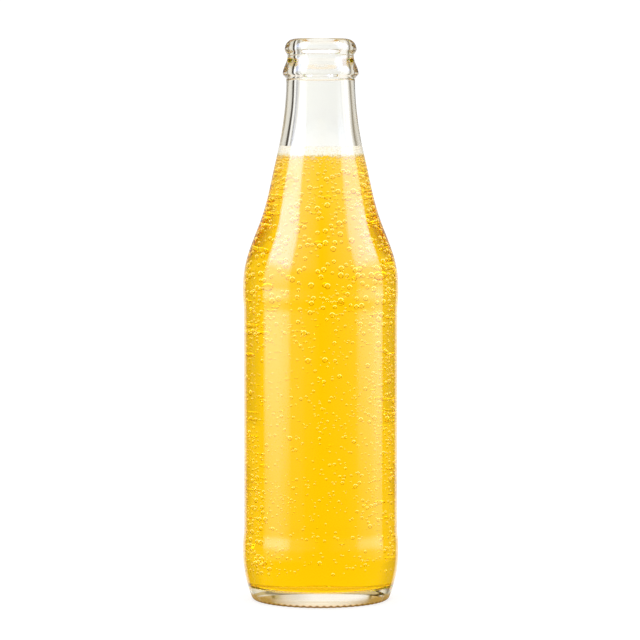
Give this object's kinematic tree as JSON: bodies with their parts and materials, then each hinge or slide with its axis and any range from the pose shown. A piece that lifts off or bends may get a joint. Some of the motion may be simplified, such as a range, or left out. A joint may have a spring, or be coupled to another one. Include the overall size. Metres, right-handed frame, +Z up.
{
  "type": "soda bottle",
  "caption": "Clear glass soda bottle with a crown-cap mouth, open, filled to the lower neck with yellow soda under a thin head of froth.",
  "frame": {"origin": "centre of the ring that the bottle stands on", "axes": "+Z up along the bottle's axis"},
  "size_m": [0.0578, 0.0578, 0.208],
  "materials": {
    "clear_glass": "clear, polished",
    "yellow_soda": "clear yellow liquid",
    "froth": "fine white bubbles"
  },
  "bodies": {
    "root": {"bottle": "clear_glass", "soda": "yellow_soda", "foam": "froth"}
  },
  "joints": []
}
